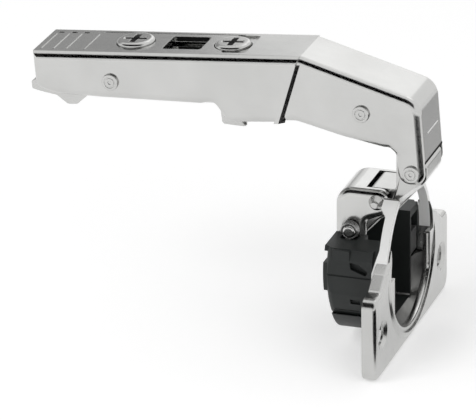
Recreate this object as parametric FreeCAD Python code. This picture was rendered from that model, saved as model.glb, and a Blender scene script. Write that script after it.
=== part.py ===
import FreeCAD
import Part
import math
import os
from FreeCAD import Vector

# A cranked concealed cabinet hinge, modelled fully open, in millimetres.
# X runs along the arm, from its rear end towards the knuckle and out of the cup.
# Y is the direction of every hinge pin, and Z points up, from the cup to the arm.
# The origin is the centre of the cup's bore, on the door's face.

# Cup and flange
CUP_WALL_R = 17.2
CUP_SHEET = 1.1
CUP_DEPTH = 10.9
FLANGE_H = 3.1
FLANGE_SHEET = 1.1
SCREW_SPACING = 45.0
SCREW_DROP = 9.5
SCREW_HOLE_R = 2.3
SCREW_EDGE = 5.5
FLANGE_LEN = SCREW_SPACING + 2 * SCREW_EDGE
WING_HALF_H = 9.3
WING_CORNER_R = 3.0
DIMPLE_R = 3.4
DIMPLE_DEPTH = 0.6
OPENING_R = CUP_WALL_R - 1.3
OPENING_HALF_W = CUP_WALL_R - 3.7
RIM_H = 2.3
RIM_REACH = 1.0
HORN_BACK_X = 0.4
HORN_FOOT_Z = 2.0
HORN_NECK_Z = 7.0
HORN_HOOK_Z = 13.0
STEEL_WALL_TOP = -9.6

# Steel hood at the top of the cup
HOOD_HALF_W = 7.2
HOOD_SHEET = 0.9
HOOD_BACK_X = -12.3
HOOD_TOP_Z = 16.8
HOOD_FOOT_Z = 6.3
HOOD_BACK_R = 4.0
HOOD_BEND_R = 1.6
LOBE_R = 2.7
NOTCH_X = -5.8
NOTCH_HALF_W = 5.0

# Fully open, the arm leans back by the angle the hinge opens past square, about this (x, z) point.
ARM_LEAN = 4.5
LEAN_CENTRE = (-7.2, 22.6)

# Pivots of the linkage, as (x, z). Those of the arm are given before it leans.
ARM_PIVOT_UPPER = (-5.15, 34.45)
ARM_PIVOT_LOWER = (4.95, 21.0)
CUP_PIVOT_UPPER = (-2.9, 14.25)
CUP_PIVOT_LOWER = (-8.45, 7.8)
LINK_PIN_R = 1.4
RUN_CLEAR = 0.05
SIDE_CLEAR = 0.3

# Arm channel
ARM_SHEET = 1.2
ARM_BEND_R = 1.7
ARM_TOP_Z = 46.8
ARM_REAR_X = -79.4
REAR_HALF_W = 8.4
FRONT_HALF_W = 7.8
REAR_FOOT_Z = 36.4
SKIRT_X = -38.5
SKIRT_Z = 31.5
STEP_TOP_X = -18.2
STEP_FOOT_X = -23.9
STEP_LEN = 1.3
FRONT_START_X = -31.0
CRANK_X = -18.2
NOSE_X = 7.9
NOSE_TOP_Z = 37.2
NOSE_FOOT_Z = 23.3
NOSE_R = 4.5
EAR_R = 2.9
EAR_BACK = 3.35
ARM_PIN_R = 1.5
PIN_HEAD_R = 1.85
PIN_PROUD = 0.6
PIN_SEAT = 0.55

# Inner carrier, clip lever and screws
CARRIER_SHEET = 1.0
CARRIER_TOP_Z = ARM_TOP_Z - 2.3
CARRIER_REAR_X = ARM_REAR_X + 2.3
CARRIER_FRONT_X = -31.7
CARRIER_DROP = 0.2
LEVER_PIVOT = (-61.5, 40.4)
LEVER_SHEET = 1.0
LEVER_PIN_R = 1.5
HOOK_Z = 34.1
DEPTH_SCREW_X = -57.9
DEPTH_HEAD_R = 4.2
DEPTH_STEM_R = 1.9
CAM_R = 1.7
CAM_H = 0.8
CAM_OFFSET = 0.9
SIDE_SCREW_X = -35.5
SIDE_HEAD_R = 4.0
SIDE_STEM_R = 2.0
SIDE_STEM_LEN = 7.7
NUT_CLEAR = 0.2
DEPTH_PROUD = 0.9
SIDE_PROUD = 0.6
HEAD_H = 2.1
HEAD_EDGE_R = 0.8
CROSS_HALF_W = 0.7
SLOT_X0 = -50.5
SLOT_X1 = -41.7
SLOT_HALF_W = 4.1
SLOT_CORNER_R = 0.7
RECESS_DEPTH = 0.4
DASHES_X = (-77.3, -74.2, -71.3)
RIBS_X = (-78.1, -75.2, -72.2, -68.0)
RIB_H = 0.12
RIB_NEAR_Y = -5.5
RIB_FAR_Y = 4.3
DASH_Y = 5.2
GROOVE_Y = 5.8

# Links
OUTER_LINK_HALF_W = 4.6
INNER_LINK_HALF_W = 6.0
LINK_SHEET = 1.0
LINK_EYE_R = 1.9
LINK_LEFT_X = 0.8
LINK_RIGHT_X = 3.1
LINK_CRANK_Z = 25.2
LINK_END_H = 2.5
LINK_BEND_R = 0.7

# Damper
HOUSING_R = CUP_WALL_R - 0.4
HOUSING_FLAT_Y = HOUSING_R - 0.5
HOUSING_BACK_X = -11.6
HOUSING_FRONT_X = -0.1
HOUSING_TOP_Z = 6.3
HOUSING_WALL = 0.6
DAMPER_BACK_X = HOUSING_BACK_X + 1.6
BAND_H = 0.8
DAMPER_R = 2.25
CHAMBER_OUT_Y = HOUSING_R - 2.2
CHAMBER_IN_Y = CHAMBER_OUT_Y - 2 * DAMPER_R - 0.4
CHAMBER_WALL = 0.7
LINK_BAY_HALF_W = 6.6
DAMPER_LEN = 5.0
PISTON_X = -5.9
DAMPER_PAD_X = -1.4
DAMPER_Z = -1.9
DAMPER_ROD_R = 0.8

# Springs
SPRING_WIRE_R = 0.27
SPRING_MEAN_R = 1.75
SPRING_GAP = 0.08
SPRING_LEG = 1.2
CLIP_LEG = 4.5
CLIP_WIRE_R = 0.35
CLIP_MEAN_R = 2.0
NUT_R = 3.1
NUT_H = 3.0

# Ends of the cup pins, outside the hood
UPPER_END = 1.8
UPPER_COLLAR_R = 1.75
UPPER_TIP_R = 0.85
LOWER_END = 2.6


def rounded_wire(points, plane):
    """A closed wire through (u, v, radius) points, each corner rounded by its radius."""
    flat = [Vector(p[0], p[1], 0) for p in points]
    count = len(points)
    entries = []
    for i, corner in enumerate(flat):
        radius = points[i][2]
        before = (flat[i - 1] - corner).normalize()
        after = (flat[(i + 1) % count] - corner).normalize()
        if radius <= 0:
            entries.append((corner, None, corner))
            continue
        half = before.getAngle(after) / 2
        cut = radius / math.tan(half)
        centre = corner + (before + after).normalize() * (radius / math.sin(half))
        middle = centre + (corner - centre).normalize() * radius
        entries.append((corner + before * cut, middle, corner + after * cut))
    edges = []
    for i, (start, middle, end) in enumerate(entries):
        if middle is not None:
            edges.append(Part.Arc(place(start, plane), place(middle, plane), place(end, plane)).toShape())
        following = entries[(i + 1) % count][0]
        if (following - end).Length > 1e-4:
            edges.append(Part.LineSegment(place(end, plane), place(following, plane)).toShape())
    return Part.Wire(edges)


def place(point, plane):
    """Put a flat (u, v) point on the XZ plane or on the YZ plane."""
    if plane == "xz":
        return Vector(point.x, 0, point.y)
    return Vector(0, point.x, point.y)


def leaning(shape):
    """Turn a piece of the arm's side to where it stands when the hinge is open."""
    turned = shape.copy()
    turned.rotate(Vector(LEAN_CENTRE[0], 0, LEAN_CENTRE[1]), Vector(0, 1, 0), -ARM_LEAN)
    return turned


def leaning_point(pivot):
    """The same turn for an (x, z) point."""
    angle = math.radians(ARM_LEAN)
    x = pivot[0] - LEAN_CENTRE[0]
    z = pivot[1] - LEAN_CENTRE[1]
    turned_x = x * math.cos(angle) - z * math.sin(angle)
    turned_z = x * math.sin(angle) + z * math.cos(angle)
    return (LEAN_CENTRE[0] + turned_x, LEAN_CENTRE[1] + turned_z)


def slab_y(points, y0, y1):
    """Extrude an outline drawn in X and Z from y0 to y1."""
    face = Part.Face(rounded_wire(points, "xz"))
    face.translate(Vector(0, y0, 0))
    return face.extrude(Vector(0, y1 - y0, 0))


def slab_x(points, x0, x1):
    """Extrude an outline drawn in Y and Z from x0 to x1."""
    face = Part.Face(rounded_wire(points, "yz"))
    face.translate(Vector(x0, 0, 0))
    return face.extrude(Vector(x1 - x0, 0, 0))


def box(x0, x1, y0, y1, z0, z1):
    return Part.makeBox(x1 - x0, y1 - y0, z1 - z0, Vector(x0, y0, z0))


def rounded_box(x0, x1, half_w, corner_r, z0, z1):
    """An upright block with rounded corners, centred on the middle plane."""
    block = box(x0, x1, -half_w, half_w, z0, z1)
    return fillet_where(block, corner_r, lambda edge: edge.BoundBox.ZLength > z1 - z0 - 1e-3)


def rod_y(pivot, radius, y0, y1):
    """A cylinder along Y through an (x, z) pivot."""
    return Part.makeCylinder(radius, y1 - y0, Vector(pivot[0], y0, pivot[1]), Vector(0, 1, 0))


def rod_x(radius, x0, x1):
    """A cylinder along X about the cup's axis."""
    return Part.makeCylinder(radius, x1 - x0, Vector(x0, 0, 0), Vector(1, 0, 0))


def rod_z(x, y, radius, z0, z1):
    return Part.makeCylinder(radius, z1 - z0, Vector(x, y, z0), Vector(0, 0, 1))


def both_sides(shape):
    """A shape and its mirror image about the middle plane."""
    twin = shape.mirror(Vector(0, 0, 0), Vector(0, 1, 0))
    return [shape, twin]


def fillet_where(shape, radius, test):
    """Round the edges that a test picks."""
    edges = [edge for edge in shape.Edges if test(edge)]
    return shape.makeFillet(radius, edges) if edges else shape


def save(name, shape):
    solid = shape.removeSplitter() if len(shape.Solids) == 1 else shape
    solid.exportStep(os.path.join("parts", name + ".step"))
    print(name, len(solid.Solids), round(solid.Volume, 2), solid.isValid())


def arm_outline(half_w):
    """The channel's outer side view. The rear part ends at the step, the front part starts there."""
    if half_w == REAR_HALF_W:
        return [
            (ARM_REAR_X, ARM_TOP_Z, 0),
            (STEP_TOP_X, ARM_TOP_Z, 0),
            (STEP_FOOT_X, SKIRT_Z + 0.3, 0),
            (SKIRT_X + 2.9, SKIRT_Z, 1.5),
            (SKIRT_X, REAR_FOOT_Z - 0.3, 1.8),
            (SKIRT_X - 3.0, REAR_FOOT_Z - 0.8, 0),
            (LEVER_PIVOT[0] - 2.7, REAR_FOOT_Z, 0),
            (ARM_REAR_X + 5.1, REAR_FOOT_Z + 0.6, 2.0),
            (ARM_REAR_X + 2.3, REAR_FOOT_Z + 1.3, 1.0),
            (ARM_REAR_X, REAR_FOOT_Z + 2.5, 0.5),
        ]
    ear = ARM_PIVOT_LOWER
    return [
        (FRONT_START_X, ARM_TOP_Z, 0),
        (CRANK_X, ARM_TOP_Z, 6.0),
        (NOSE_X, NOSE_TOP_Z, NOSE_R),
        (NOSE_X, ear[1] - EAR_R, EAR_R * 0.98),
        (ear[0] - EAR_BACK, ear[1] - EAR_R, EAR_R * 0.98),
        (ear[0] - EAR_BACK, ear[1] + 4.2, 1.2),
        (ear[0] - 4.7, ear[1] + 5.5, 1.0),
        (ear[0] - 6.1, ear[1] + 5.6, 2.0),
        (ear[0] - 15.0, ear[1] + 7.8, 8.0),
        (STEP_TOP_X - 2.0, SKIRT_Z + 0.5, 4.0),
        (FRONT_START_X, SKIRT_Z + 0.3, 0),
    ]


def channel(outline, half_w):
    """A downward-open channel: a slab with rounded top edges, hollowed from below."""
    body = slab_y(outline, -half_w, half_w)

    def on_top(edge):
        bounds = edge.BoundBox
        side = abs(abs(bounds.YMin) - half_w) < 1e-3 and bounds.YLength < 1e-3
        front = bounds.XMin > NOSE_X - 1e-3
        top = bounds.ZMin > NOSE_TOP_Z - NOSE_R and bounds.XMin > ARM_REAR_X - 1e-3
        upright = bounds.XMax < ARM_REAR_X + 1e-3
        return side and (top or front) and not upright

    return fillet_where(body, ARM_BEND_R, on_top)


def arm_hollow(half_w, points):
    return slab_y(points, -(half_w - ARM_SHEET), half_w - ARM_SHEET)


def arm_channel():
    t = ARM_SHEET
    rear = channel(arm_outline(REAR_HALF_W), REAR_HALF_W)
    rear_in = [
        (ARM_REAR_X - 2, ARM_TOP_Z - t, 0),
        (STEP_TOP_X + 4, ARM_TOP_Z - t, 0),
        (STEP_TOP_X + 4, 20.0, 0),
        (ARM_REAR_X - 2, 20.0, 0),
    ]
    front = channel(arm_outline(FRONT_HALF_W), FRONT_HALF_W)
    slope = math.atan2(ARM_TOP_Z - NOSE_TOP_Z, NOSE_X - CRANK_X)
    crank_shift = t * math.tan(slope / 2)
    nose_drop = t * (1 - math.sin(slope)) / math.cos(slope)
    front_in = [
        (FRONT_START_X - 2, ARM_TOP_Z - t, 0),
        (CRANK_X - crank_shift, ARM_TOP_Z - t, 5.0),
        (NOSE_X - t, NOSE_TOP_Z - nose_drop, NOSE_R - t),
        (NOSE_X - t, 10.0, 0),
        (FRONT_START_X - 2, 10.0, 0),
    ]
    rear = rear.cut(arm_hollow(REAR_HALF_W, rear_in))
    front = front.cut(arm_hollow(FRONT_HALF_W, front_in))
    # Below the nose only the two ears go on, so the front wall is cut away between them.
    inside = FRONT_HALF_W - t
    front = front.cut(box(NOSE_X - t - 0.6, NOSE_X + 2, -inside, inside, 10.0, NOSE_FOOT_Z))
    front = front.cut(box(ARM_REAR_X, STEP_FOOT_X - 2.5, -20, 20, 0, 60))
    arm = rear.fuse(front)
    for ramp in both_sides(step_ramp()):
        arm = arm.fuse(ramp)
    # Openings in the top: two screw seats, the clip slot between them, and three small slots.
    top0 = ARM_TOP_Z - 2.5
    top1 = ARM_TOP_Z + 2.0
    arm = arm.cut(rod_z(DEPTH_SCREW_X, 0, DEPTH_HEAD_R + 0.15, top0, top1))
    arm = arm.cut(rounded_box(SLOT_X0, SLOT_X1, SLOT_HALF_W, SLOT_CORNER_R, top0, top1))
    arm = arm.cut(rod_z(SIDE_SCREW_X, 0, SIDE_HEAD_R + 0.2, top0, top1))
    # The side screw lies in a shallow pressed recess with a straight right edge.
    recess = rounded_box(SIDE_SCREW_X - 1.0, SIDE_SCREW_X + 4.6, 5.6, 0.8, ARM_TOP_Z - RECESS_DEPTH, top1)
    arm = arm.cut(recess)
    for x in DASHES_X:
        arm = arm.cut(box(x - 0.65, x + 0.65, DASH_Y - 0.35, DASH_Y + 0.35, top0, top1))
    groove_end = SIDE_SCREW_X + 1.0
    groove_foot = ARM_TOP_Z - RECESS_DEPTH
    arm = arm.cut(box(RIBS_X[-1] + 0.7, groove_end, GROOVE_Y - 0.2, GROOVE_Y + 0.2, groove_foot, top1))
    for x in RIBS_X:
        arm = arm.fuse(box(x - 0.15, x + 0.15, RIB_NEAR_Y, RIB_FAR_Y, ARM_TOP_Z - 0.3, ARM_TOP_Z + RIB_H))
    # Pin holes, countersunk on the outside.
    front_pins = [(ARM_PIVOT_UPPER, FRONT_HALF_W), (ARM_PIVOT_LOWER, FRONT_HALF_W)]
    for pivot, half_w in front_pins + [(LEVER_PIVOT, REAR_HALF_W)]:
        arm = arm.cut(rod_y(pivot, ARM_PIN_R, -half_w - 1, half_w + 1))
        for sink in both_sides(rod_y(pivot, PIN_HEAD_R, -half_w - 1, -half_w + PIN_SEAT)):
            arm = arm.cut(sink)
    return arm


def step_ramp():
    """The sloping face between the arm's wide rear part and its narrower front part."""
    lean = (STEP_TOP_X - STEP_FOOT_X) / (ARM_TOP_Z - SKIRT_Z - 0.3)
    top_z = ARM_TOP_Z - ARM_BEND_R
    foot_z = SKIRT_Z + 0.3
    faces = []
    for y, reach in ((-FRONT_HALF_W + 0.3, STEP_LEN), (-REAR_HALF_W, 0.05)):
        low = Vector(STEP_FOOT_X, y, foot_z)
        high = Vector(STEP_FOOT_X + lean * (top_z - foot_z), y, top_z)
        back = Vector(-1.0, 0, 0)
        ahead = Vector(reach, 0, 0)
        faces.append(Part.makePolygon([low + back, low + ahead, high + ahead, high + back, low + back]))
    return Part.makeLoft(faces, True)


def headed_pin(pivot, half_w):
    """A pin riveted into both walls, its heads standing a little out of the outer faces."""
    end = half_w + PIN_PROUD
    pin = rod_y(pivot, ARM_PIN_R, -end, end)
    for head in both_sides(rod_y(pivot, PIN_HEAD_R, -end, -half_w + PIN_SEAT)):
        pin = pin.fuse(head)

    def end_edge(edge):
        bounds = edge.BoundBox
        return bounds.YLength < 1e-3 and abs(abs(bounds.YMin) - end) < 1e-3

    pin = fillet_where(pin, 0.15, end_edge)
    ring = rod_y(pivot, 1.25, -end - 0.1, -end + 0.12).cut(rod_y(pivot, 1.0, -end - 0.2, -end + 0.2))
    for mark in both_sides(ring.fuse(rod_y(pivot, 0.4, -end - 0.1, -end + 0.2))):
        pin = pin.cut(mark)
    return pin


def inner_carrier():
    """The channel nested in the arm's rear part, which clips over the mounting plate."""
    half_w = REAR_HALF_W - ARM_SHEET - 0.25
    foot = REAR_FOOT_Z - CARRIER_DROP
    outline = [
        (CARRIER_REAR_X, CARRIER_TOP_Z, 0.5),
        (CARRIER_FRONT_X, CARRIER_TOP_Z, 0.5),
        (CARRIER_FRONT_X, SKIRT_Z - 1.5, 0.8),
        (SKIRT_X + 1.0, SKIRT_Z - 0.9, 0.8),
        (SKIRT_X + 0.8, foot - 0.9, 1.2),
        (SKIRT_X - 3.0, foot - 0.8, 0),
        (LEVER_PIVOT[0] - 2.7, foot, 0),
        (CARRIER_REAR_X + 2.8, foot + 0.6, 1.0),
        (CARRIER_REAR_X, foot + 1.5, 0.5),
    ]
    carrier = slab_y(outline, -half_w, half_w)

    def top_side(edge):
        bounds = edge.BoundBox
        return bounds.YLength < 1e-3 and bounds.ZMin > CARRIER_TOP_Z - 1e-3

    carrier = fillet_where(carrier, 1.3, top_side)
    t = CARRIER_SHEET
    inside = half_w - t
    x0 = CARRIER_REAR_X - 2
    x1 = CARRIER_FRONT_X + 2
    carrier = carrier.cut(box(x0, x1, -inside, inside, SKIRT_Z - 5, CARRIER_TOP_Z - t))
    for x0, x1 in ((SLOT_X0 - 0.4, SLOT_X1 + 0.4), (CARRIER_REAR_X - 1, LEVER_PIVOT[0] - 5.1)):
        carrier = carrier.cut(box(x0, x1, -SLOT_HALF_W, SLOT_HALF_W, CARRIER_TOP_Z - 2, CARRIER_TOP_Z + 1))
    carrier = carrier.cut(rod_z(DEPTH_SCREW_X, 0, 3.2, CARRIER_TOP_Z - 3, CARRIER_TOP_Z + 1))
    carrier = carrier.cut(rod_z(SIDE_SCREW_X, 0, 2.4, CARRIER_TOP_Z - 3, CARRIER_TOP_Z + 1))
    return carrier.cut(rod_y(LEVER_PIVOT, LEVER_PIN_R + RUN_CLEAR, -20, 20))


def clip_lever():
    """The spring catch: a channel on its pin, with a hook at each foot and a finger tab at the rear."""
    half_w = REAR_HALF_W - ARM_SHEET - 0.25 - CARRIER_SHEET - 0.25
    x, z = LEVER_PIVOT
    rear = ARM_REAR_X - 1.7
    side = [
        (rear, z - 1.1, 0.4),
        (rear + 1.6, z - 0.6, 0.8),
        (rear + 3.4, z + 1.0, 0),
        (x - 4.5, z + 2.0, 1.0),
        (x, z + 2.4, 1.2),
        (x + 2.3, z + 1.8, 1.2),
        (x + 2.3, z - 2.0, 1.2),
        (x - 4.7, z - 2.3, 0.8),
        (x - 7.2, HOOK_Z + 1.7, 0.8),
        (x - 9.4, HOOK_Z, 0.9),
        (x - 11.6, HOOK_Z, 0.9),
        (x - 14.0, HOOK_Z + 2.0, 0.6),
        (rear + 2.0, HOOK_Z + 2.8, 0.6),
        (rear, HOOK_Z + 3.4, 0.4),
    ]
    lever = slab_y(side, -half_w, half_w)
    inside = half_w - LEVER_SHEET
    lever = lever.cut(box(rear + 4.2, x + 10, -inside, inside, 30, z + 0.2))
    lever = lever.cut(box(rear + 1.0, rear + 5.0, -inside, inside, 30, z - 1.8))
    lever = lever.cut(box(x - 5.0, x + 10, -inside, inside, 30, 50))
    return lever.cut(rod_y(LEVER_PIVOT, LEVER_PIN_R + RUN_CLEAR, -20, 20))


def torsion_spring(pivot, wire_r, mean_r, turns, y_start, turn_deg, leg):
    """A coil wound on a Y pin, with a straight leg from each end of the wire."""
    pitch = 2 * wire_r + SPRING_GAP
    length = pitch * turns
    start = Vector(mean_r, 0, 0)
    helix = Part.Wire(Part.makeHelix(pitch, length, mean_r))
    circle = Part.Wire(Part.makeCircle(wire_r, start, Vector(0, 1, 0)))
    coil = helix.makePipeShell([circle], True, True)
    first = Part.makeCylinder(wire_r, leg, start, Vector(0, -1, 0))
    last = Part.makeCylinder(wire_r, leg, start + Vector(0, 0, length), Vector(0, 1, 0))
    spring = coil.fuse(first).fuse(last)
    spring.rotate(Vector(0, 0, 0), Vector(0, 0, 1), turn_deg)
    spring.rotate(Vector(0, 0, 0), Vector(1, 0, 0), -90)
    spring.translate(Vector(pivot[0], y_start, pivot[1]))
    return spring


def clip_spring():
    """The coil on the lever's pin that snaps the catch shut."""
    half = 2 * (2 * CLIP_WIRE_R + SPRING_GAP)
    return torsion_spring(LEVER_PIVOT, CLIP_WIRE_R, CLIP_MEAN_R, 4, -half, 90, CLIP_LEG)


def closing_spring():
    """Two coils on the ends of the lower cup pin, outside the hood."""
    y = HOOD_HALF_W + 0.1 + SPRING_WIRE_R
    coil = torsion_spring(CUP_PIVOT_LOWER, SPRING_WIRE_R, SPRING_MEAN_R, 2.75, y, 80, SPRING_LEG)
    return Part.makeCompound(both_sides(coil))


def side_screw_nut():
    """The threaded bush that the side screw turns in, pressed into the carrier."""
    top = CARRIER_TOP_Z - CARRIER_SHEET
    nut = rod_z(SIDE_SCREW_X, 0, NUT_R, top - NUT_H, top)
    nut = fillet_where(nut, 0.4, lambda edge: edge.BoundBox.ZMax < top - NUT_H + 1e-3)
    return nut.cut(rod_z(SIDE_SCREW_X, 0, SIDE_STEM_R + NUT_CLEAR, top - NUT_H - 1, top + 1))


def rectangle(x, half_x, half_y, z):
    corners = [(-half_x, -half_y), (half_x, -half_y), (half_x, half_y), (-half_x, half_y), (-half_x, -half_y)]
    return Part.makePolygon([Vector(x + u, v, z) for u, v in corners])


def cross_recess(x, z_top, reach):
    """A cross slot that narrows downwards."""
    cut = None
    for half_x, half_y in ((reach, CROSS_HALF_W), (CROSS_HALF_W, reach)):
        top = rectangle(x, half_x, half_y, z_top + 0.01)
        foot = rectangle(x, half_x / 2, half_y / 2, z_top - 1.2)
        groove = Part.makeLoft([top, foot], True)
        cut = groove if cut is None else cut.fuse(groove)
    return cut


def depth_screw():
    top = ARM_TOP_Z + DEPTH_PROUD
    head = rod_z(DEPTH_SCREW_X, 0, DEPTH_HEAD_R, top - HEAD_H, top)
    head = fillet_where(head, HEAD_EDGE_R, lambda edge: edge.BoundBox.ZMin > top - 1e-3)
    cam_top = CARRIER_TOP_Z - CARRIER_SHEET - 0.2
    stem = rod_z(DEPTH_SCREW_X, 0, DEPTH_STEM_R, cam_top, top - HEAD_H)
    cam = rod_z(DEPTH_SCREW_X + CAM_OFFSET, 0, CAM_R, cam_top - CAM_H, cam_top)
    return head.fuse(stem).fuse(cam).cut(cross_recess(DEPTH_SCREW_X, top, 2.7))


def side_screw():
    top = ARM_TOP_Z + SIDE_PROUD
    foot = CARRIER_TOP_Z - SIDE_STEM_LEN
    head = rod_z(SIDE_SCREW_X, 0, SIDE_HEAD_R, top - HEAD_H, top)
    head = fillet_where(head, HEAD_EDGE_R, lambda edge: edge.BoundBox.ZMin > top - 1e-3)
    stem = rod_z(SIDE_SCREW_X, 0, SIDE_STEM_R, foot, top - HEAD_H)
    stem = fillet_where(stem, 0.4, lambda edge: edge.BoundBox.ZMax < foot + 1e-3)
    return head.fuse(stem).cut(cross_recess(SIDE_SCREW_X, top, 2.6))


def outer_link():
    """The long cranked link, from the upper arm pin, behind the ears, to the upper cup pin."""
    a = leaning_point(ARM_PIVOT_UPPER)
    c = CUP_PIVOT_UPPER
    top = c[1] + LINK_END_H
    outline = [
        (a[0] - 2.6, a[1] - 1.4, 1.8),
        (a[0] - 0.9, a[1] + 2.9, 1.9),
        (a[0] + 2.9, a[1] + 0.4, 2.0),
        (LINK_RIGHT_X, LINK_CRANK_Z + 1.0, 3.0),
        (LINK_RIGHT_X, top + 1.2, 3.0),
        (c[0] + 2.9, c[1] + 0.4, 1.6),
        (c[0] + 0.9, c[1] - 2.5, 1.9),
        (c[0] - 2.3, c[1] - 1.5, 1.9),
        (c[0] - 2.35, top, 1.0),
        (LINK_LEFT_X, top, 0.5),
        (LINK_LEFT_X, LINK_CRANK_Z, 2.0),
    ]
    link = slab_y(outline, -OUTER_LINK_HALF_W, OUTER_LINK_HALF_W)
    t = LINK_SHEET
    inner = [
        (a[0] - 4.8, a[1] + 2.1, 0),
        (a[0] - 4.8, a[1] + 8.0, 0),
        (a[0] + 12.0, a[1] + 8.0, 0),
        (a[0] + 12.0, c[1] - 4.1, 0),
        (c[0] - 4.0, c[1] - 4.1, 0),
        (c[0] - 1.5, c[1] - 1.0, 0),
        (c[0] - 1.5, top - t, 0.4),
        (LINK_LEFT_X + t, top - t, 0.5),
        (LINK_LEFT_X + t, LINK_CRANK_Z + 0.4, 2.0),
    ]
    cheek = OUTER_LINK_HALF_W - t
    link = link.cut(slab_y(inner, -cheek, cheek))
    for pivot, radius in ((a, ARM_PIN_R), (c, LINK_PIN_R)):
        link = link.cut(rod_y(pivot, radius + RUN_CLEAR, -20, 20))
    return link


def inner_link():
    """The short link: eyes on the lower arm pin, a web round their front and underneath."""
    a = leaning_point(ARM_PIVOT_LOWER)
    c = CUP_PIVOT_LOWER
    front = a[0] + 2.9
    eye = LINK_EYE_R
    outline = [
        (a[0] - 2.9, a[1] - 0.6, 2.0),
        (a[0] - 2.2, a[1] + 2.5, 2.2),
        (a[0] + 1.4, a[1] + 2.1, 1.2),
        (front, a[1] + 1.6, 1.0),
        (front, a[1] - 2.0, 2.0),
        (c[0] + 9.7, c[1] + 4.5, 4.0),
        (c[0] + 6.0, c[1] + 2.0, 3.0),
        (c[0] + 2.4, c[1] - eye, 1.8),
        (c[0] - eye, c[1] - eye, eye * 0.95),
        (c[0] - eye, c[1] + eye, eye * 0.95),
        (c[0] + 1.6, c[1] + 2.0, 1.5),
        (c[0] + 5.0, c[1] + 3.4, 1.5),
        (c[0] + 8.1, c[1] + 5.1, 1.5),
        (a[0] - 3.9, a[1] - 4.6, 3.0),
    ]
    link = slab_y(outline, -INNER_LINK_HALF_W, INNER_LINK_HALF_W)

    def web_bend(edge):
        bounds = edge.BoundBox
        middle = edge.valueAt((edge.FirstParameter + edge.LastParameter) / 2)
        ahead = middle.x > a[0] or middle.z < c[1] + 5.0 + 0.9 * (middle.x - c[0] - 9.0)
        return bounds.YLength < 1e-3 and ahead and c[0] + 2.4 < bounds.XMin and bounds.ZMax < a[1] + 0.6

    link = fillet_where(link, LINK_BEND_R, web_bend)
    cheek = INNER_LINK_HALF_W - LINK_SHEET
    t = LINK_SHEET
    inner = [
        (a[0] - 8.0, a[1] + 8.0, 0),
        (front - t, a[1] + 8.0, 0),
        (front - t, a[1] - 1.6, 1.2),
        (c[0] + 9.1, c[1] + 5.3, 3.0),
        (c[0] + 5.6, c[1] + 3.0, 3.0),
        (c[0] + 2.8, c[1] - 0.6, 0),
        (c[0] + 2.4, c[1] - 4.0, 0),
        (c[0] - 6.0, c[1] - 4.0, 0),
        (c[0] - 6.0, a[1] + 8.0, 0),
    ]
    link = link.cut(slab_y(inner, -cheek, cheek))
    for pivot, radius in ((a, ARM_PIN_R), (c, LINK_PIN_R)):
        link = link.cut(rod_y(pivot, radius + RUN_CLEAR, -20, 20))
    return link


def flange_outline():
    """Front view of the flange: two wings, with an S-shaped shoulder up to the cup's rim."""
    end = FLANGE_LEN / 2
    span = end - CUP_WALL_R
    low = -SCREW_DROP - WING_HALF_H
    high = -SCREW_DROP + WING_HALF_H
    right = [
        (end, low, WING_CORNER_R),
        (end, high + 0.4, 0.22 * span),
        (end - 0.46 * span, high + 0.4, 0.17 * span),
        (end - 0.8 * span, high + 3.2, 0.17 * span),
        (CUP_WALL_R - 1.0, high + 4.8, 0.8),
        (CUP_WALL_R - 2.4, high + 7.0, 0),
    ]
    left = [(-y, z, r) for y, z, r in reversed(right)]
    return right + left


def cup_flange():
    """One drawn steel piece: a shallow pan for the flange, the cup's rim, and its lower wall."""
    outline = flange_outline()
    plate = slab_x(outline, 0, FLANGE_H)

    def rim_edge(edge):
        bounds = edge.BoundBox
        return bounds.XMin > FLANGE_H - 1e-3

    plate = fillet_where(plate, 0.9, rim_edge)
    t = FLANGE_SHEET
    under = Part.Face(rounded_wire(outline, "yz")).makeOffset2D(-t)
    under.translate(Vector(-1, 0, 0))
    plate = plate.cut(under.extrude(Vector(1 + FLANGE_H - t, 0, 0)))
    # The cup's rim stands under the plate and runs on, above the shoulders, to the hood, as two horns.
    rim = rod_x(CUP_WALL_R, -RIM_REACH, RIM_H)
    rim = rim.cut(rod_x(CUP_WALL_R - CUP_SHEET, -RIM_REACH - 1, RIM_H + 1))
    behind = [
        (-RIM_REACH - 1, HORN_FOOT_Z, 0),
        (-RIM_REACH, HORN_FOOT_Z, 0),
        (HORN_BACK_X, HORN_NECK_Z, 1.0),
        (HORN_BACK_X, HORN_HOOK_Z, 0.8),
        (-RIM_REACH, HORN_HOOK_Z + 1.2, 0),
        (-RIM_REACH - 1, HORN_HOOK_Z + 1.2, 0),
    ]
    rim = rim.cut(slab_y(behind, -30, 30))
    wall = rod_x(CUP_WALL_R, -CUP_DEPTH, 0).cut(rod_x(CUP_WALL_R - CUP_SHEET, -CUP_DEPTH - 1, 1))
    wall = wall.cut(box(-CUP_DEPTH - 1, 1, -30, 30, STEEL_WALL_TOP, 30))
    top_gap = box(-5, 6, -HOOD_HALF_W, HOOD_HALF_W, 5, 30)
    cup = plate.fuse(rim).fuse(wall)
    opening = rod_x(OPENING_R, -1, FLANGE_H + 1)
    opening = opening.common(box(-1, FLANGE_H + 1, -OPENING_HALF_W, OPENING_HALF_W, -30, 0))
    upper = rod_x(CUP_WALL_R - CUP_SHEET, -1, FLANGE_H + 1).common(box(-1, FLANGE_H + 1, -30, 30, -0.01, 30))
    cup = cup.cut(opening).cut(upper).cut(top_gap)
    for side in (-1, 1):
        y = side * SCREW_SPACING / 2
        dimple_top = Vector(FLANGE_H + 0.01, y, -SCREW_DROP)
        sink = Part.makeCone(DIMPLE_R, SCREW_HOLE_R, DIMPLE_DEPTH, dimple_top, Vector(-1, 0, 0))
        hole = Part.makeCylinder(SCREW_HOLE_R, FLANGE_H + 4, Vector(-2, y, -SCREW_DROP), Vector(1, 0, 0))
        cup = cup.cut(sink).cut(hole)
    return cup


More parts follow.
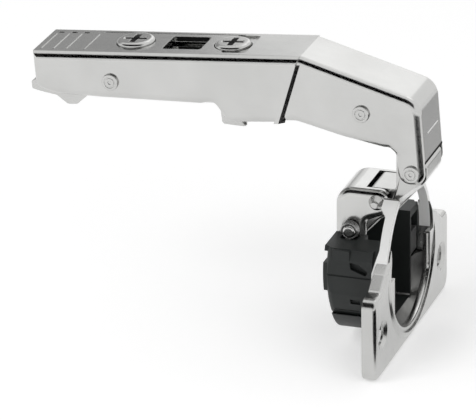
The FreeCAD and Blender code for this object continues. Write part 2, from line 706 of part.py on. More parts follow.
def hood_outline():
    c = CUP_PIVOT_UPPER
    low = CUP_PIVOT_LOWER
    return [
        (HOOD_BACK_X, HOOD_FOOT_Z, 0),
        (HOOD_BACK_X, HOOD_TOP_Z, HOOD_BACK_R),
        (c[0] + LOBE_R, HOOD_TOP_Z, LOBE_R * 0.9),
        (c[0] + LOBE_R, c[1] - LOBE_R, LOBE_R * 0.9),
        (low[0] + 3.2, low[1] + 1.75, 1.5),
        (low[0] + 3.2, HOOD_FOOT_Z, 0),
    ]


def cup_hood():
    """The folded steel box that holds both cup pins, open at the front and below."""
    hood = slab_y(hood_outline(), -HOOD_HALF_W, HOOD_HALF_W)

    def rounded(edge):
        bounds = edge.BoundBox
        side = bounds.YLength < 1e-3
        top = bounds.ZMin > HOOD_TOP_Z - 1e-3
        back = bounds.XMax < HOOD_BACK_X + HOOD_BACK_R + 1e-3 and bounds.ZMax > HOOD_FOOT_Z + 1
        return side and (top or back)

    hood = fillet_where(hood, HOOD_BEND_R, rounded)
    t = HOOD_SHEET
    inside = HOOD_HALF_W - t
    hollow = slab_y([
        (HOOD_BACK_X + t, 0, 0),
        (HOOD_BACK_X + t, HOOD_TOP_Z - t, HOOD_BACK_R - t),
        (20, HOOD_TOP_Z - t, 0),
        (20, 0, 0),
    ], -inside, inside)
    hood = hood.cut(hollow)
    hood = hood.cut(box(NOTCH_X, 20, -NOTCH_HALF_W, NOTCH_HALF_W, HOOD_TOP_Z - 3, HOOD_TOP_Z + 3))
    for pivot in (CUP_PIVOT_UPPER, CUP_PIVOT_LOWER):
        hood = hood.cut(rod_y(pivot, LINK_PIN_R, -20, 20))
    return hood


def cup_pin_upper():
    """A pin with a collar outside each side of the hood, drawn out to a narrow tip."""
    side = HOOD_HALF_W
    pin = rod_y(CUP_PIVOT_UPPER, LINK_PIN_R, -side, side)
    collar_at = Vector(CUP_PIVOT_UPPER[0], -side, CUP_PIVOT_UPPER[1])
    collar = Part.makeCone(UPPER_COLLAR_R, UPPER_TIP_R, UPPER_END * 0.7, collar_at, Vector(0, -1, 0))
    tip = rod_y(CUP_PIVOT_UPPER, UPPER_TIP_R, -side - UPPER_END, -side)
    tip = fillet_where(tip, 0.25, lambda edge: edge.BoundBox.YMax < -side - UPPER_END + 1e-3)
    for end in both_sides(collar.fuse(tip)):
        pin = pin.fuse(end)
    return pin


def cup_pin_lower():
    """Two stubs, one in each side of the hood, with the link's eyes between them."""
    end = HOOD_HALF_W + LOWER_END
    stub = rod_y(CUP_PIVOT_LOWER, LINK_PIN_R, -end, -INNER_LINK_HALF_W - SIDE_CLEAR)
    stub = fillet_where(stub, 0.5, lambda edge: edge.BoundBox.YMax < -end + 1e-3)
    return Part.makeCompound(both_sides(stub))


def damper_housing():
    """The moulded back of the cup: a round block, hollow in the middle for the links."""
    body = rod_x(HOUSING_R, HOUSING_BACK_X, HOUSING_FRONT_X)
    body = fillet_where(body, 1.6, lambda edge: edge.BoundBox.XMax < HOUSING_BACK_X + 1e-3)
    band = rod_x(HOUSING_R - 1.2, HOUSING_BACK_X - BAND_H, HOUSING_BACK_X + 2)
    band = band.common(box(-20, 0, -30, 30, -4.0, 2.6))
    ledge = rod_x(HOUSING_R - 0.9, HOUSING_BACK_X - BAND_H + 0.2, HOUSING_BACK_X + 2)
    ledge = ledge.common(box(-20, 0, -30, 30, 5.2, HOUSING_TOP_Z))
    body = body.fuse(band).fuse(ledge)
    body = body.common(box(-20, 5, -HOUSING_FLAT_Y, HOUSING_FLAT_Y, -30, HOUSING_TOP_Z))
    # Room for the rim in front, and for the steel wall below.
    rim_room = rod_x(CUP_WALL_R + 2, -RIM_REACH - 0.1, 5).cut(rod_x(CUP_WALL_R - CUP_SHEET - 0.02, -5, 6))
    body = body.cut(rim_room)
    steel = rod_x(CUP_WALL_R + 2, -CUP_DEPTH - 0.1, 5).cut(rod_x(CUP_WALL_R - CUP_SHEET - 0.02, -20, 6))
    body = body.cut(steel.common(box(-20, 6, -30, 30, -30, STEEL_WALL_TOP + 0.1)))
    behind = rod_x(CUP_WALL_R + 2, -20, -CUP_DEPTH).cut(rod_x(CUP_WALL_R - CUP_SHEET - 0.6, -21, 1))
    body = body.cut(behind.common(box(-20, 6, -30, 30, -30, STEEL_WALL_TOP + 0.1)))
    middle = CHAMBER_IN_Y - CHAMBER_WALL
    bay_foot = -HOUSING_R + 3.2
    body = body.cut(box(-5.0, 5, -middle, middle, bay_foot, 30))
    body = body.cut(box(HOUSING_BACK_X + HOUSING_WALL, 5, -LINK_BAY_HALF_W, LINK_BAY_HALF_W, bay_foot, 30))
    chamber_foot = -HOUSING_R / 2
    chamber_top = HOUSING_TOP_Z - 1.7
    chamber = box(DAMPER_BACK_X, 5, -CHAMBER_OUT_Y, -CHAMBER_IN_Y, chamber_foot, chamber_top)
    for twin in both_sides(chamber):
        body = body.cut(twin)
    coil_room = SPRING_MEAN_R + SPRING_WIRE_R + 0.4
    for room in both_sides(rod_y(CUP_PIVOT_LOWER, coil_room, -HOOD_HALF_W - LOWER_END - 0.3, -HOOD_HALF_W)):
        body = body.cut(room)
    # Slots and shallow panels of the outer side.
    corner_slot = [(-6.2, 3.6, 0.3), (-4.2, 3.3, 0.3), (-2.2, 1.8, 0.3), (-2.6, 0.8, 0.3), (-6.0, 2.0, 0.3)]
    side = -HOUSING_FLAT_Y
    for cut in (
        slab_y(corner_slot, -20, side + 1.2),
        box(-6.2, -4.0, -20, side + 1.4, -6.3, -5.1),
        box(-10.0, -6.3, -20, side + 0.5, 3.4, HOUSING_TOP_Z + 1),
        box(-20, 5, -20, side + 0.25, 0.1, 0.5),
    ):
        for twin in both_sides(cut):
            body = body.cut(twin)
    return body


def damper_cylinder():
    y = -(CHAMBER_IN_Y + CHAMBER_OUT_Y) / 2
    back = Vector(DAMPER_BACK_X, y, DAMPER_Z)
    cylinder = Part.makeCylinder(DAMPER_R, DAMPER_LEN, back, Vector(1, 0, 0))
    bore = Part.makeCylinder(DAMPER_R - 0.7, DAMPER_LEN, back + Vector(1, 0, 0), Vector(1, 0, 0))
    return Part.makeCompound(both_sides(cylinder.cut(bore)))


def damper_slider():
    """The two pistons, each with its rod and the pad that the closing door pushes in."""
    y = -(CHAMBER_IN_Y + CHAMBER_OUT_Y) / 2
    start = Vector(PISTON_X, y, DAMPER_Z)
    piston = Part.makeCylinder(DAMPER_R - 0.75, 0.8, start, Vector(1, 0, 0))
    rod = Part.makeCylinder(DAMPER_ROD_R, DAMPER_PAD_X - PISTON_X, start, Vector(1, 0, 0))
    pad = box(DAMPER_PAD_X, DAMPER_PAD_X + 1.2, -CHAMBER_OUT_Y + 0.4, -CHAMBER_IN_Y - 0.4, -4.4, 0.9)
    return Part.makeCompound(both_sides(rod.fuse(piston).fuse(pad)))


def main():
    os.makedirs("parts", exist_ok=True)
    save("arm_channel", leaning(arm_channel()))
    save("inner_carrier", leaning(inner_carrier()))
    save("clip_lever", leaning(clip_lever()))
    save("clip_lever_pin", leaning(headed_pin(LEVER_PIVOT, REAR_HALF_W)))
    save("clip_spring", leaning(clip_spring()))
    save("depth_screw", leaning(depth_screw()))
    save("side_screw", leaning(side_screw()))
    save("side_screw_nut", leaning(side_screw_nut()))
    save("arm_pin_upper", leaning(headed_pin(ARM_PIVOT_UPPER, FRONT_HALF_W)))
    save("arm_pin_lower", leaning(headed_pin(ARM_PIVOT_LOWER, FRONT_HALF_W)))
    save("outer_link", outer_link())
    save("inner_link", inner_link())
    save("closing_spring", closing_spring())
    save("cup_flange", cup_flange())
    save("cup_hood", cup_hood())
    save("cup_pin_upper", cup_pin_upper())
    save("cup_pin_lower", cup_pin_lower())
    save("damper_housing", damper_housing())
    save("damper_cylinder", damper_cylinder())
    save("damper_slider", damper_slider())


main()
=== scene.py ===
"""A cranked cup hinge of nickel-plated sheet with a black soft-closing housing, opened flat.

Everything is in metres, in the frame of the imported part: the origin is the centre of the cup's bore
on the door's face, +X runs out of the door, Y along the pins and +Z up. The points of the pieces
are written in millimetres, and piece() turns them into metres.
"""

import math

import bmesh
import bpy
from mathutils import Matrix, Vector


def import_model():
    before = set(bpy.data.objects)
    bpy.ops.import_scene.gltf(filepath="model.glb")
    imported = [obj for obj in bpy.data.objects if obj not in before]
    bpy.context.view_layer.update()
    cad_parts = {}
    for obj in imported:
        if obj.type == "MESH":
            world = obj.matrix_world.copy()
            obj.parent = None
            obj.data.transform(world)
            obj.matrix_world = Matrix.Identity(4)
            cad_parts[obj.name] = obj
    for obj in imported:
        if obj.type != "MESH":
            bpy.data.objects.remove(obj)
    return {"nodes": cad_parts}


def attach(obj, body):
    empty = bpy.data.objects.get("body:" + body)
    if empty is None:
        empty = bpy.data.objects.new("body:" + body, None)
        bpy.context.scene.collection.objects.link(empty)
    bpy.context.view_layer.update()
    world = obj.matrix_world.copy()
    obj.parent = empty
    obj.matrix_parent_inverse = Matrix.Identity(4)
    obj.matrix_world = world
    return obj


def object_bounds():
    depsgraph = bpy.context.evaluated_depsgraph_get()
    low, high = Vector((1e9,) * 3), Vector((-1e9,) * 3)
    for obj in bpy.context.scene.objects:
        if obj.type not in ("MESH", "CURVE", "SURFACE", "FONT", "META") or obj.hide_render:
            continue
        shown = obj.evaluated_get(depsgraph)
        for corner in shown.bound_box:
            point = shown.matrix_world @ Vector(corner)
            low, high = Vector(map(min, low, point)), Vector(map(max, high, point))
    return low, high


MM = 0.001

# The camera, as the photograph's perspective gives it
CAMERA_PLACE = Vector((232.14, -782.15, 345.36)) * MM
CAMERA_AZIMUTH = math.radians(18.884)
CAMERA_ELEVATION = math.radians(22.237)
CAMERA_ROLL = math.radians(-0.902)
CAMERA_LENS = 308.09
SENSOR_WIDTH = 36.0
IMAGE_WIDTH = 476
SHIFT_PIXELS = (6.0, -6.0)

# The studio's floor and light
FLOOR_GAP = 0.2 * MM
FLOOR_SIZE = 6.0
FLOOR_COLOUR = (0.86, 0.86, 0.86, 1.0)
FLOOR_ROUGH = 0.9
FLOOR_LIFT = 0.34
WORLD_LIGHT = 0.62
KEY_POWER = 3.0
FILL_POWER = 1.5

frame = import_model()
NODES = frame["nodes"]
cad_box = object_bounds()
low, high = cad_box
middle = (low + high) / 2

# Materials

# How far the waves of a grain are stretched along each axis
ALONG_X = (0.06, 1.0, 1.0)
ALONG_Z = (1.0, 1.0, 0.06)
EVEN = (1.0, 1.0, 1.0)

# Waves per metre
NICKEL_CLOUD = 90.0
PLASTIC_CLOUD = 140.0
PLASTIC_GRAIN = 5200.0

# How far the roughness strays, and how far edges look rounded, in mm
NICKEL_STRAY = 0.05
PLASTIC_STRAY = 0.06
SHEET_EDGE = 0.12
MOULDED_EDGE = 0.2


def new_material(name):
    """A node material, with its tree and its Principled shader."""
    material = bpy.data.materials.new(name)
    material.use_nodes = True
    tree = material.node_tree
    return material, tree, tree.nodes["Principled BSDF"]


def noise(tree, scale, detail=2.0, stretch=EVEN):
    """A noise in object space, in waves per metre, stretched along the axes."""
    place = tree.nodes.new("ShaderNodeTexCoord")
    mapping = tree.nodes.new("ShaderNodeMapping")
    mapping.inputs["Scale"].default_value = stretch
    tree.links.new(place.outputs["Object"], mapping.inputs["Vector"])
    texture = tree.nodes.new("ShaderNodeTexNoise")
    texture.inputs["Scale"].default_value = scale
    texture.inputs["Detail"].default_value = detail
    tree.links.new(mapping.outputs["Vector"], texture.inputs["Vector"])
    return texture.outputs["Fac"]


def spread(tree, value, start, end):
    """The value's middle half, mapped to start..end."""
    span = tree.nodes.new("ShaderNodeMapRange")
    span.inputs["From Min"].default_value = 0.25
    span.inputs["From Max"].default_value = 0.75
    span.inputs["To Min"].default_value = start
    span.inputs["To Max"].default_value = end
    tree.links.new(value, span.inputs["Value"])
    return span.outputs["Result"]


def tint(tree, value, dark, light):
    """A colour between dark and light, by the value's middle half."""
    factor = spread(tree, value, 0.0, 1.0)
    mix = tree.nodes.new("ShaderNodeMix")
    mix.data_type = "RGBA"
    mix.inputs["A"].default_value = (*dark, 1.0)
    mix.inputs["B"].default_value = (*light, 1.0)
    tree.links.new(factor, mix.inputs["Factor"])
    return mix.outputs["Result"]


def bump(tree, shader, height, depth, edge):
    """Fine relief of that depth, over edges that look slightly rounded, both in mm."""
    rounding = tree.nodes.new("ShaderNodeBevel")
    rounding.samples = 6
    rounding.inputs["Radius"].default_value = edge * MM
    relief = tree.nodes.new("ShaderNodeBump")
    relief.inputs["Distance"].default_value = depth * MM
    tree.links.new(height, relief.inputs["Height"])
    tree.links.new(rounding.outputs["Normal"], relief.inputs["Normal"])
    tree.links.new(relief.outputs["Normal"], shader.inputs["Normal"])


def nickel(name, dark, light, rough, grain, stretch, depth, edge=SHEET_EDGE, metallic=1.0):
    """Nickel plating: an even cloudy tint and fine lines, along the sheet's drawing where it has one."""
    material, tree, shader = new_material(name)
    shader.inputs["Metallic"].default_value = metallic
    cloud = noise(tree, NICKEL_CLOUD, 3.0)
    tree.links.new(tint(tree, cloud, dark, light), shader.inputs["Base Color"])
    lines = noise(tree, grain, 4.0, stretch)
    roughness = spread(tree, lines, rough - NICKEL_STRAY, rough + NICKEL_STRAY)
    tree.links.new(roughness, shader.inputs["Roughness"])
    bump(tree, shader, lines, depth, edge)
    return material


def moulded(name, dark, light, rough, depth):
    """Moulded plastic with a fine spark-eroded grain."""
    material, tree, shader = new_material(name)
    cloud = noise(tree, PLASTIC_CLOUD, 3.0)
    tree.links.new(tint(tree, cloud, dark, light), shader.inputs["Base Color"])
    grain = noise(tree, PLASTIC_GRAIN, 3.0)
    roughness = spread(tree, grain, rough - PLASTIC_STRAY, rough + PLASTIC_STRAY)
    tree.links.new(roughness, shader.inputs["Roughness"])
    shader.inputs["Specular IOR Level"].default_value = 0.45
    bump(tree, shader, grain, depth, MOULDED_EDGE)
    return material


def dull(name, colour, rough):
    """One even dull colour."""
    material, _, shader = new_material(name)
    shader.inputs["Base Color"].default_value = (*colour, 1.0)
    shader.inputs["Roughness"].default_value = rough
    shader.inputs["Specular IOR Level"].default_value = 0.15
    return material


# Darkest and lightest tint, roughness, waves of the lines per metre, their direction, and relief in mm
arm_steel = nickel("arm_nickel", (0.53, 0.53, 0.52), (0.6, 0.6, 0.59), 0.19, 2600.0, ALONG_X, 0.004)
carrier_steel = nickel(
    "carrier_nickel", (0.52, 0.52, 0.51), (0.6, 0.6, 0.59), 0.26, 2600.0, ALONG_X, 0.004
)
link_steel = nickel("link_nickel", (0.5, 0.5, 0.49), (0.58, 0.58, 0.57), 0.22, 2600.0, ALONG_Z, 0.004)
hood_steel = nickel("hood_nickel", (0.55, 0.55, 0.54), (0.62, 0.62, 0.61), 0.2, 2400.0, ALONG_Z, 0.003)
cup_steel = nickel("cup_nickel", (0.52, 0.52, 0.51), (0.58, 0.58, 0.57), 0.24, 2400.0, ALONG_Z, 0.0012)
screw_steel = nickel("screw_nickel", (0.5, 0.5, 0.49), (0.6, 0.6, 0.59), 0.2, 1500.0, EVEN, 0.004)
pin_steel = nickel("pin_nickel", (0.5, 0.5, 0.49), (0.6, 0.6, 0.59), 0.17, 1500.0, EVEN, 0.004)
spring_steel = nickel("spring_steel", (0.3, 0.3, 0.3), (0.42, 0.42, 0.41), 0.28, 3000.0, EVEN, 0.003)
black_plastic = moulded("black_plastic", (0.008, 0.010, 0.0095), (0.015, 0.018, 0.017), 0.5, 0.012)
grey_plastic = moulded("grey_plastic", (0.04, 0.04, 0.04), (0.06, 0.06, 0.06), 0.42, 0.01)
# Nickel darkened as painted shade inside the cup, with a real rough grain
painted_shade_rough_steel = nickel(
    "painted_shade_rough_nickel", (0.03, 0.03, 0.03), (0.3, 0.3, 0.29), 0.5, 2600.0, EVEN, 0.08, edge=0.0
)
# A paler, barely metallic copy of the nickel, as painted highlight on the horns and bright edges
painted_highlight_steel = nickel(
    "painted_highlight_nickel", (0.82, 0.82, 0.81), (0.88, 0.88, 0.87), 0.45, 2400.0, ALONG_Z, 0.002, metallic=0.15
)
# Near black, for plates of painted shade in recesses, gaps and under edges
painted_shade = dull("painted_shade", (0.005, 0.005, 0.005), 0.7)

FINISHES = {
    "arm_channel": arm_steel,
    "inner_carrier": carrier_steel,
    "clip_lever": carrier_steel,
    "clip_lever_pin": pin_steel,
    "clip_spring": spring_steel,
    "depth_screw": screw_steel,
    "side_screw": screw_steel,
    "side_screw_nut": screw_steel,
    "arm_pin_upper": pin_steel,
    "arm_pin_lower": pin_steel,
    "outer_link": link_steel,
    "inner_link": link_steel,
    "closing_spring": spring_steel,
    "cup_flange": cup_steel,
    "cup_hood": hood_steel,
    "cup_pin_upper": pin_steel,
    "cup_pin_lower": pin_steel,
    "damper_housing": black_plastic,
    "damper_cylinder": screw_steel,
    "damper_slider": grey_plastic,
}

for node_name, finish in FINISHES.items():
    for material_slot in NODES[node_name].material_slots:
        material_slot.material = finish

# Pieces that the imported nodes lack. From here to the studio every size and place is in mm.

# Edges that fold by more than this, in radians, are sharp
SHARP_ANGLE = 0.6


def piece(name, rows, body, material, sharp=SHARP_ANGLE):
    """A closed profile swept along a path, riding on a body: a row of points for each profile corner."""
    shape = bmesh.new()
    made = [[shape.verts.new(Vector(point) * MM) for point in row] for row in rows]
    for first, second in zip(made, made[1:] + made[:1]):
        for i in range(len(first) - 1):
            shape.faces.new((first[i], first[i + 1], second[i + 1], second[i]))
    shape.faces.new([row[0] for row in made])
    shape.faces.new([row[-1] for row in reversed(made)])
    bmesh.ops.recalc_face_normals(shape, faces=shape.faces[:])
    for face in shape.faces:
        face.smooth = True
    for edge in shape.edges:
        edge.smooth = edge.calc_face_angle(0.0) < sharp
    mesh = bpy.data.meshes.new(name)
    shape.to_mesh(mesh)
    shape.free()
    mesh.materials.append(material)
    obj = bpy.data.objects.new(name, mesh)
    bpy.context.scene.collection.objects.link(obj)
    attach(obj, body)


def both_sides(name):
    """The side's sign and the full name of the near piece and of the far one."""
    return ((-1, name + "_near"), (1, name + "_far"))


def rectangle(left, right, foot, top):
    """The corners of an upright rectangle, round from its lower left one."""
    return [(left, foot), (right, foot), (right, top), (left, top)]


# The opening in the flange: straight sides, and an arc between their feet
OPENING_HALF_W = 13.5
OPENING_R = 15.9
SIDE_STEPS = 6
ARC_STEPS = 40

# The lip, as how far out of the opening's edge and X
LIP_TOP_Z = -0.4
LIP_BEND = [(-0.02, 1.5), (-0.16, 2.0), (-0.14, 2.5), (0.05, 2.95)]
LIP_FRONT = [(0.35, 3.14), (0.6, 3.15), (0.85, 3.08)]

# The wall under the lip goes in to the rectangle of the damper's bay
WALL_TOP_Z = -4.7
WALL_FRONT_X = 1.55
WALL_HALFWAY_X = 0.35
WALL_INNER_X = -0.04
WALL_BACK_X = -0.09
WALL_SHARP_ANGLE = 1.5
BAY_HALF_W = 9.3
BAY_FOOT_Z = -13.65


def opening_path(top_z):
    """Points and outward directions along the opening, from the far side down and back up."""
    corner = math.acos(OPENING_HALF_W / OPENING_R)
    side_foot = -OPENING_R * math.sin(corner)
    side = []
    for i in range(SIDE_STEPS):
        side.append((OPENING_HALF_W, top_z + (side_foot - top_z) * i / SIDE_STEPS, 1.0, 0.0))
    arc = []
    for i in range(ARC_STEPS + 1):
        angle = -corner - (math.pi - 2 * corner) * i / ARC_STEPS
        out_y, out_z = math.cos(angle), math.sin(angle)
        arc.append((OPENING_R * out_y, OPENING_R * out_z, out_y, out_z))
    return side + arc + [(-y, z, -out_y, out_z) for y, z, out_y, out_z in reversed(side)]


def opening_lip():
    """The drawn lip round the opening."""
    path = opening_path(LIP_TOP_Z)
    rows = []
    for out, x in LIP_BEND + LIP_FRONT:
        rows.append([(x, y + out * out_y, z + out * out_z) for y, z, out_y, out_z in path])
    piece("opening_lip", rows, "cup", cup_steel)


def inner_wall():
    """The rough wall under the lip, its nickel darkened as painted shade."""
    outer = [(y, z) for y, z, _, _ in opening_path(WALL_TOP_Z)]
    inner = [(max(-BAY_HALF_W, min(BAY_HALF_W, y)), max(BAY_FOOT_Z, z)) for y, z in outer]
    halfway = [((a[0] + b[0]) / 2, (a[1] + b[1]) / 2) for a, b in zip(outer, inner)]
    edges = (
        (WALL_FRONT_X, outer),
        (WALL_HALFWAY_X, halfway),
        (WALL_INNER_X, inner),
        (WALL_BACK_X, outer),
    )
    rows = [[(x, y, z) for y, z in edge] for x, edge in edges]
    piece("inner_wall", rows, "cup", painted_shade_rough_steel, WALL_SHARP_ANGLE)


opening_lip()
inner_wall()

# The step round the rim, on the flange's front: a riser painted dark as the step's shadow and a soft
# slope, as how far out and X
FLANGE_FRONT_X = 3.09
STEP_R = 17.0
RISER_PROFILE = [(0.0, 3.0), (0.0, 3.5), (0.1, 3.5), (0.1, 3.0)]
SLOPE_PROFILE = [(0.0, 3.0), (0.0, 3.51), (0.15, 3.53), (0.5, 3.4), (1.3, 3.08)]
STEP_START_DEG = 4
STEP_TURN_DEG = 188
STEP_STATIONS = 96
STEP_FADE = 10


def rim_step(name, profile, material):
    """A profile round the lower part of the rim, which fades out into the wings' shoulders."""
    rows = []
    for out, x in profile:
        radius = STEP_R + out
        row = []
        for i in range(STEP_STATIONS + 1):
            angle = math.radians(STEP_START_DEG - STEP_TURN_DEG * i / STEP_STATIONS)
            fade = min(1.0, i / STEP_FADE, (STEP_STATIONS - i) / STEP_FADE)
            faded_x = FLANGE_FRONT_X + (x - FLANGE_FRONT_X) * fade
            row.append((faded_x, radius * math.cos(angle), radius * math.sin(angle)))
        rows.append(row)
    piece(name, rows, "cup", material)


rim_step("rim_step_riser_shade", RISER_PROFILE, painted_shade)
rim_step("rim_step_slope", SLOPE_PROFILE, cup_steel)

# The two horns of the rim, skinned in a paler nickel as painted highlight. Their back comes forward
# above the foot.
HORN_OUT_R = 17.25
HORN_IN_R = 16.05
HORN_START_DEG = 0.5
HORN_TURN_DEG = 63.0
HORN_STEPS = 40
HORN_BACK_X = -1.05
HORN_BACK_SHIFT = 1.4
HORN_FOOT_Z = 2.0
HORN_FOOT_LEN = 5.0
HORN_HOOK_Z = 14.2
HORN_HOOK_LEN = 1.2
HORN_CHAMFER_X = 2.2
HORN_FRONT_X = 2.36
HORN_CHAMFER = 0.12


def horn(name, side):
    """A skin over one horn."""
    stations = []
    for i in range(HORN_STEPS + 1):
        angle = math.radians(HORN_START_DEG + HORN_TURN_DEG * i / HORN_STEPS)
        z = HORN_OUT_R * math.sin(angle)
        share = min(1.0, (z - HORN_FOOT_Z) / HORN_FOOT_LEN, (HORN_HOOK_Z - z) / HORN_HOOK_LEN)
        back = HORN_BACK_X + HORN_BACK_SHIFT * max(0.0, share)
        ring = (
            (back, HORN_OUT_R),
            (HORN_CHAMFER_X, HORN_OUT_R),
            (HORN_FRONT_X, HORN_OUT_R - HORN_CHAMFER),
            (HORN_FRONT_X, HORN_IN_R),
            (back, HORN_IN_R),
        )
        stations.append([(x, side * r * math.cos(angle), r * math.sin(angle)) for x, r in ring])
    piece(name, [list(row) for row in zip(*stations)], "cup", painted_highlight_steel)


for side, name in both_sides("horn"):
    horn(name, side)

# Flush covers of the housing's upper corners
COVER_CORNERS = rectangle(-10.1, -6.2, 3.3, 6.2)
COVER_INNER_Y = 15.9
COVER_OUTER_Y = 16.34

for side, name in both_sides("housing_cover"):
    rows = [[(x, side * COVER_INNER_Y, z), (x, side * COVER_OUTER_Y, z)] for x, z in COVER_CORNERS]
    piece(name, rows, "cup", black_plastic)

# The housing's foot comes down over the steel wall; its profile is radius and X
FOOT_START = math.radians(33.5)
FOOT_END = math.radians(54.5)
FOOT_STEPS = 12
FOOT_PROFILE = ((17.21, -10.9), (17.4, -10.5), (17.4, -0.4), (17.21, -0.2))

for side, name in both_sides("housing_foot"):
    angles = [FOOT_START + (FOOT_END - FOOT_START) * i / FOOT_STEPS for i in range(FOOT_STEPS + 1)]
    rows = []
    for radius, x in FOOT_PROFILE:
        rows.append([(x, side * radius * math.cos(a), -radius * math.sin(a)) for a in angles])
    piece(name, rows, "cup", black_plastic)

# Pieces of the arm are drawn with the arm upright and turned by its lean about this X and Z
ARM_LEAN = math.radians(4.5)
LEAN_X = -7.2
LEAN_Z = 22.6


def on_arm(x, y, z):
    """A point of the upright drawing, turned with the arm's lean."""
    u, w = x - LEAN_X, z - LEAN_Z
    turned_x = LEAN_X + u * math.cos(ARM_LEAN) - w * math.sin(ARM_LEAN)
    turned_z = LEAN_Z + u * math.sin(ARM_LEAN) + w * math.cos(ARM_LEAN)
    return (turned_x, y, turned_z)


def across_arm(name, corners, near_y, far_y, body, material):
    """An outline in the upright drawing's X and Z, drawn out along Y."""
    rows = [[on_arm(x, near_y, z), on_arm(x, far_y, z)] for x, z in corners]
    piece(name, rows, body, material)


# The foot of the screws' crosses, a little under the top of the head, painted dark as the shade in the
# recess
CROSS_HALF_W = 0.58
CROSS_DEPTH = 0.12
CROSS_PLATE = 0.1


def cross_shade(name, x, head_top, reach, body):
    """Two dark plates of painted shade, one for each slot of a cross."""
    top = head_top - CROSS_DEPTH
    for part, half_x, half_y in (("_x", reach, CROSS_HALF_W), ("_y", CROSS_HALF_W, reach)):
        corners = rectangle(-half_x, half_x, -half_y, half_y)
        rows = [[on_arm(x + u, v, top - CROSS_PLATE), on_arm(x + u, v, top)] for u, v in corners]
        piece(name + part, rows, body, painted_shade)


cross_shade("depth_cross_shade", -57.9, 47.7, 2.25, "depth_screw")
cross_shade("side_cross_shade", -35.5, 47.4, 2.15, "side_screw")

# Dark plates of painted shade on the carrier's inside and on the cut edges of the slot over it
across_arm("carrier_inside_shade", rectangle(-53.0, -39.5, 36.5, 43.4), 5.86, 6.0, "carrier", painted_shade)
SLOT_ENDS_X = (-49.8, -42.4)
for body, foot, top in (("arm", 45.7, 46.7), ("carrier", 43.6, 44.45)):
    across_arm("slot_edge_shade_" + body, rectangle(*SLOT_ENDS_X, foot, top), 4.0, 4.15, body, painted_shade)

# A raised line across the front of the nose in the paler nickel of painted highlight, and a dark strip
# of painted shade under the nose's foot
NOSE_LINE = ((7.88, 29.05), (7.99, 28.95), (7.99, 28.75), (7.88, 28.65))
NOSE_FOOT = ((7.85, 23.45), (7.96, 23.4), (7.96, 22.95), (7.6, 22.95))
across_arm("nose_line", NOSE_LINE, -3.4, 4.4, "arm", painted_highlight_steel)
across_arm("nose_foot_shade", NOSE_FOOT, -6.4, 6.4, "arm", painted_shade)

# A painted highlight on the folded edge of the short link's web: its ends in X and Z, the direction
# across it,
# and its profile, as how far across and Y
WEB_ENDS = ((0.9, 13.3), (7.0, 18.63))
WEB_ACROSS = (-0.658, 0.753)
FOLD_PROFILE = ((0.85, 5.3), (0.85, 6.06), (0.75, 6.12), (0.1, 6.12), (0.0, 6.06), (0.0, 5.3))

for side, name in both_sides("link_edge_highlight"):
    rows = []
    for across, y in FOLD_PROFILE:
        u, w = WEB_ACROSS[0] * across, WEB_ACROSS[1] * across
        rows.append([(x + u, side * y, z + w) for x, z in WEB_ENDS])
    piece(name, rows, "inner_link", painted_highlight_steel)

# The studio, in metres


def square_corners(width, height):
    """The corners of a flat rectangle about the origin."""
    half_w, half_h = width / 2, height / 2
    return [(-half_w, -half_h, 0), (half_w, -half_h, 0), (half_w, half_h, 0), (-half_w, half_h, 0)]


def flat(name, width, height, place):
    """A flat rectangle, and its mesh."""
    mesh = bpy.data.meshes.new(name)
    mesh.from_pydata(square_corners(width, height), [], [(0, 1, 2, 3)])
    obj = bpy.data.objects.new(name, mesh)
    bpy.context.scene.collection.objects.link(obj)
    obj.location = place
    return obj, mesh


def turn_to(obj, place, facing, axis):
    """Turns an object's axis from its place towards a point."""
    obj.rotation_euler = (Vector(facing) - Vector(place)).to_track_quat(axis, "Y").to_euler()


def only_reflected(obj):
    """A studio card: the metal sees it, the camera and the soft light don't."""
    obj.visible_camera = False
    obj.visible_diffuse = False
    obj.visible_shadow = False
    obj.visible_transmission = False


def card(name, size, place, facing, shade):
    """A flat studio card of one shade, turned towards a point."""
    obj, mesh = flat(name, *size, place)
    turn_to(obj, place, facing, "Z")
    material = bpy.data.materials.new(name)
    material.use_nodes = True
    tree = material.node_tree
    tree.nodes.clear()
    glow = tree.nodes.new("ShaderNodeEmission")
    glow.inputs["Color"].default_value = (shade, shade, shade, 1.0)
    out = tree.nodes.new("ShaderNodeOutputMaterial")
    tree.links.new(glow.outputs["Emission"], out.inputs["Surface"])
    mesh.materials.append(material)
    only_reflected(obj)


def shown_rays(tree):
    """1 for the rays that show the background: camera, glossy and transmission rays."""
    rays = tree.nodes.new("ShaderNodeLightPath")
    seen = rays.outputs["Is Camera Ray"]
    for kind in ("Is Glossy Ray", "Is Transmission Ray"):
        either = tree.nodes.new("ShaderNodeMath")
        either.operation = "MAXIMUM"
        tree.links.new(seen, either.inputs[0])
        tree.links.new(rays.outputs[kind], either.inputs[1])
        seen = either.outputs["Value"]
    return seen


def floor(height):
    """A pale floor that reads as white to the camera and keeps the object's shadow."""
    obj, mesh = flat("floor", FLOOR_SIZE, FLOOR_SIZE, (0, 0, height))
    material, tree, shader = new_material("floor")
    shader.inputs["Base Color"].default_value = FLOOR_COLOUR
    shader.inputs["Roughness"].default_value = FLOOR_ROUGH
    shader.inputs["Specular IOR Level"].default_value = 0.0
    lift = tree.nodes.new("ShaderNodeMath")
    lift.operation = "MULTIPLY"
    lift.inputs[1].default_value = FLOOR_LIFT
    tree.links.new(shown_rays(tree), lift.inputs[0])
    shader.inputs["Emission Color"].default_value = (1.0, 1.0, 1.0, 1.0)
    tree.links.new(lift.outputs["Value"], shader.inputs["Emission Strength"])
    mesh.materials.append(material)


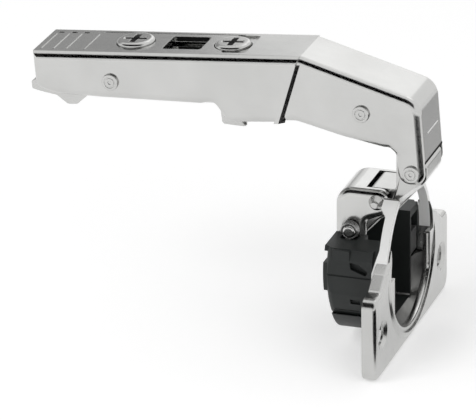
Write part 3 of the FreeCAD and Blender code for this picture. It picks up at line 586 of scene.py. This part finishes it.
def world():
    """White to the camera and in reflections, a softer white as light."""
    studio = bpy.data.worlds.new("studio")
    bpy.context.scene.world = studio
    studio.use_nodes = True
    tree = studio.node_tree
    background = tree.nodes["Background"]
    background.inputs["Color"].default_value = (1.0, 1.0, 1.0, 1.0)
    strength = tree.nodes.new("ShaderNodeMapRange")
    strength.inputs["To Min"].default_value = WORLD_LIGHT
    strength.inputs["To Max"].default_value = 1.0
    tree.links.new(shown_rays(tree), strength.inputs["Value"])
    tree.links.new(strength.outputs["Result"], background.inputs["Strength"])


def lamp(name, place, target, side, power):
    """A soft square lamp that the metal doesn't mirror."""
    light = bpy.data.lights.new(name, "AREA")
    light.shape = "RECTANGLE"
    light.size = side
    light.size_y = side
    light.energy = power
    obj = bpy.data.objects.new(name, light)
    bpy.context.scene.collection.objects.link(obj)
    obj.location = place
    turn_to(obj, place, target, "-Z")
    obj.visible_glossy = False


def camera():
    """The photograph's camera."""
    data = bpy.data.cameras.new("photo_camera")
    data.sensor_width = SENSOR_WIDTH
    data.lens = CAMERA_LENS
    data.shift_x = -SHIFT_PIXELS[0] / IMAGE_WIDTH
    data.shift_y = SHIFT_PIXELS[1] / IMAGE_WIDTH
    data.clip_start = 0.01
    data.clip_end = 20.0
    obj = bpy.data.objects.new("photo_camera", data)
    bpy.context.scene.collection.objects.link(obj)
    sine, cosine = math.sin(CAMERA_AZIMUTH), math.cos(CAMERA_AZIMUTH)
    ground = math.cos(CAMERA_ELEVATION)
    forward = Vector((-sine * ground, cosine * ground, -math.sin(CAMERA_ELEVATION)))
    level = Vector((cosine, sine, 0.0))
    upright = level.cross(forward)
    right = level * math.cos(CAMERA_ROLL) + upright * math.sin(CAMERA_ROLL)
    up = upright * math.cos(CAMERA_ROLL) - level * math.sin(CAMERA_ROLL)
    turn = Matrix((right, up, -forward)).transposed().to_4x4()
    obj.matrix_world = Matrix.Translation(CAMERA_PLACE) @ turn
    bpy.context.scene.camera = obj


# Cards: size, place, the point they face and shade
UPRIGHT_CARDS = (
    ("dark_card_front", (2.0, 0.66), middle + Vector((-0.1, -0.44, 0.52)), middle, 0.0),
    (
        "grey_card_behind",
        (0.5, 0.3),
        middle + Vector((-0.38, 0.32, 0.17)),
        middle + Vector((-0.04, 0, 0.02)),
        0.4,
    ),
    ("bright_card_behind", (0.3, 0.3), middle + Vector((0.24, 0.4, 0.64)), middle, 1.7),
    ("bright_card_far", (0.28, 0.36), (-0.05, 0.5, 0.32), (-0.01, 0.0, 0.05), 1.35),
)

# Cards that lie under the object: X from and to, Y from and to, and shade
FLOOR_CARDS = (
    ("dark_card_right", 0.060, 0.220, -0.220, 0.000, 0.0),
    ("dark_card_close", 0.014, 0.060, -0.060, 0.000, 0.0),
    ("grey_card_close", 0.014, 0.060, -0.220, -0.060, 0.35),
    ("grey_card_far", 0.030, 0.150, 0.090, 0.300, 0.5),
)

floor(low.z - FLOOR_GAP)
world()
for upright_card in UPRIGHT_CARDS:
    card(*upright_card)
for name, x0, x1, y0, y1, shade in FLOOR_CARDS:
    centre = Vector(((x0 + x1) / 2, (y0 + y1) / 2, low.z))
    card(name, (x1 - x0, y1 - y0), centre, centre + Vector((0, 0, 1)), shade)
lamp("key", middle + Vector((-0.5, -0.7, 0.8)), middle, 0.5, KEY_POWER)
lamp("fill", middle + Vector((0.7, -0.5, 0.3)), middle, 0.6, FILL_POWER)
camera()
bpy.context.scene.view_settings.view_transform = "Standard"
